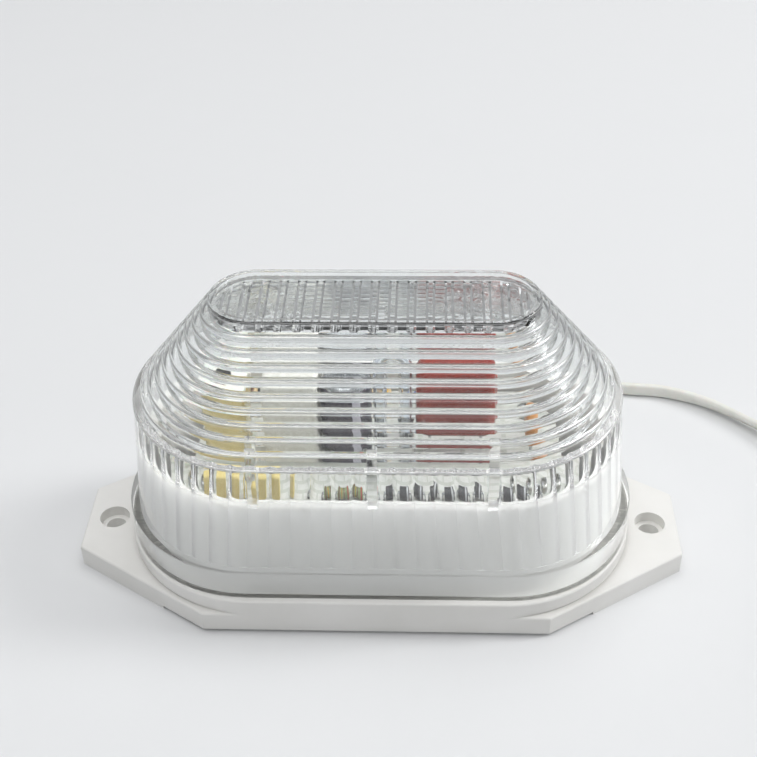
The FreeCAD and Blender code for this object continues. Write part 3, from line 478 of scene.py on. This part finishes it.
# shrink sleeve: grey-violet film with the pale stripe that marks the negative side
sleeveLook = {"stripeX": -3.65, "stripeMm": 1.5, "light": "4A4552", "dark": "37333F", "stripe": "C4C2CC"}
sleeve, tree, shader, place = surface("shrunkPvcSleeve", sleeveLook["light"], sleeveLook["dark"], 0.25, 5,
                                      grain=(2.0, 0.03), Coat_Weight=0.3)
x, y, z = add(tree, "ShaderNodeSeparateXYZ", {0: place})
fromStripe = add(tree, "ShaderNodeMath", {0: x, 1: sleeveLook["stripeX"] * mm}, operation="SUBTRACT")[0]
aside = add(tree, "ShaderNodeMath", {0: fromStripe}, operation="ABSOLUTE")[0]
narrow = add(tree, "ShaderNodeMath", {0: aside, 1: sleeveLook["stripeMm"] / 2 * mm}, operation="LESS_THAN")[0]
front = add(tree, "ShaderNodeMath", {0: y, 1: 0.0}, operation="LESS_THAN")[0]
plain = shader.inputs["Base Color"].links[0].from_socket
add(tree, "ShaderNodeMix", {
    "Factor": overlap(tree, narrow, front), "A": plain, "B": linear(sleeveLook["stripe"])},
    {"Result": shader.inputs["Base Color"]}, data_type="RGBA")
dress(sleeve, "reservoir_sleeve")

# butyl bung: dull black rubber
bung = surface("mouldedButylRubber", "262626", "181818", 0.75, 1.5, grain=(0.3, 0.02))[0]
dress(bung, "reservoir_bung")

# dipped film capacitor: red-brown resin, glossy and slightly lumpy, darker where it pools
resin = surface("dippedRedBrownResin", "9A3A2C", "7A2620", 0.2, 5, grain=(3.0, 0.10), Coat_Weight=0.5)[0]
dress(resin, "film_capacitor")

# lacquered resistors: buff and sage bodies, glossy with dimples, under their painted bands
buffLacquer = surface("dippedBuffLacquer", "D8C29A", "C6AC80", 0.3, 1.5, grain=(0.8, 0.03))[0]
dress(buffLacquer, "resistors")
sageLacquer = surface("dippedSageLacquer", "8C9A6C", "748456", 0.3, 1.5, grain=(0.8, 0.03))[0]
dress(sageLacquer, "damping_resistor")

# box film capacitors: pale yellow moulded shells, glossy with a fine grain
yellowShell = surface("mouldedYellowPolyester", "E6D591", "DAC578", 0.3, 1.8, grain=(0.4, 0.008))[0]
dress(yellowShell, "timing_capacitors")

# disc capacitor: ochre lacquer over ceramic, mottled and pitted
ochre = surface("dippedOchreCeramic", "C9893C", "AF6F2B", 0.45, 1.4, grain=(0.6, 0.06))[0]
dress(ochre, "disc_capacitor")

# diac: blue glass bead, translucent at its rim
blueGlass = surface("sealedBlueGlass", "4E78C4", "2F55A0", 0.12, 1.2, Coat_Weight=0.6)[0]
dress(blueGlass, "diac")

# board: white lacquer over glass weave, with the tracks below showing as faint raised lines
boardLook = {"light": "DCDDD9", "dark": "D2D3CE", "track": "C3C6BE", "cellMm": 5.2, "gap": 0.10,
             "trackLong": 1.6, "trackRow": 0.5, "trackDepth": 0.035}
laminate, tree, shader, place = surface("whiteLacqueredLaminate", boardLook["light"], boardLook["dark"],
                                        0.35, 4, grain=(0.3, 0.004))
tracks = add(tree, "ShaderNodeTexBrick", {
    "Vector": place, "Scale": metre / boardLook["cellMm"], "Mortar Size": boardLook["gap"],
    "Brick Width": boardLook["trackLong"], "Row Height": boardLook["trackRow"]})["Fac"]
plain = shader.inputs["Base Color"].links[0].from_socket
add(tree, "ShaderNodeMix", {"Factor": tracks, "A": plain, "B": linear(boardLook["track"])},
    {"Result": shader.inputs["Base Color"]}, data_type="RGBA")
add(tree, "ShaderNodeBump", {"Height": tracks, "Distance": boardLook["trackDepth"] * mm},
    {"Normal": shader.inputs["Normal"]})
dress(laminate, "circuit_board")

# extruded PVC lead: soft white with a faint draw line along it and handling marks
leadPvc = surface("extrudedWhitePvc", "ECECE6", "DEDED6", 0.36, 6, grain=(2.2, 0.03), Subsurface_Weight=0.1,
                  Subsurface_Scale=0.001)[0]
dress(leadPvc, "lead_inside", "lead_tails")
leadMesh.materials.clear()
leadMesh.materials.append(leadPvc)

# grommet: softer and duller than the lead
glandPvc = surface("mouldedSoftPvc", "E4E4DE", "D6D6CE", 0.55, 3, grain=(0.5, 0.015))[0]
dress(glandPvc, "lead_gland")

# core wires: saturated, glossy extruded PVC
redPvc = surface("extrudedRedPvc", "BE2A22", "9E1E18", 0.3, 2, grain=(1.0, 0.02))[0]
dress(redPvc, "core_wire_left")
blackPvc = surface("extrudedBlackPvc", "222222", "141414", 0.3, 2, grain=(1.0, 0.02))[0]
dress(blackPvc, "core_wire_right")

# paint of the bands: printed enamel, each with a slightly uneven edge of gloss
silverPaint = surface("printedSilverEnamel", "C9CBCD", "AFB1B4", 0.35, 0.6)[0]
brownPaint = surface("printedBrownEnamel", "6B4326", "57351D", 0.35, 0.6)[0]
blackPaint = surface("printedBlackEnamel", "232323", "171717", 0.35, 0.6)[0]
redPaint = surface("printedRedEnamel", "B2372B", "962A20", 0.35, 0.6)[0]
goldPaint = surface("printedGoldEnamel", "C8A24A", "A98536", 0.3, 0.6, Metallic=0.6)[0]
paintedBands("diodeBands", "diode", [silverPaint])
paintedBands("resistorBands", "resistor", [brownPaint, blackPaint, redPaint, goldPaint])
paintedBands("damperBands", "damper", [brownPaint, blackPaint, redPaint, goldPaint])

# studio floor: smooth matt paper with a hardly visible tooth
paper = surface("mattFloorPaper", studio["floorColour"], studio["floorShade"], 0.8, 60, grain=(0.8, 0.01))[0]
floor.data.materials.append(paper)
print("materials dressed")
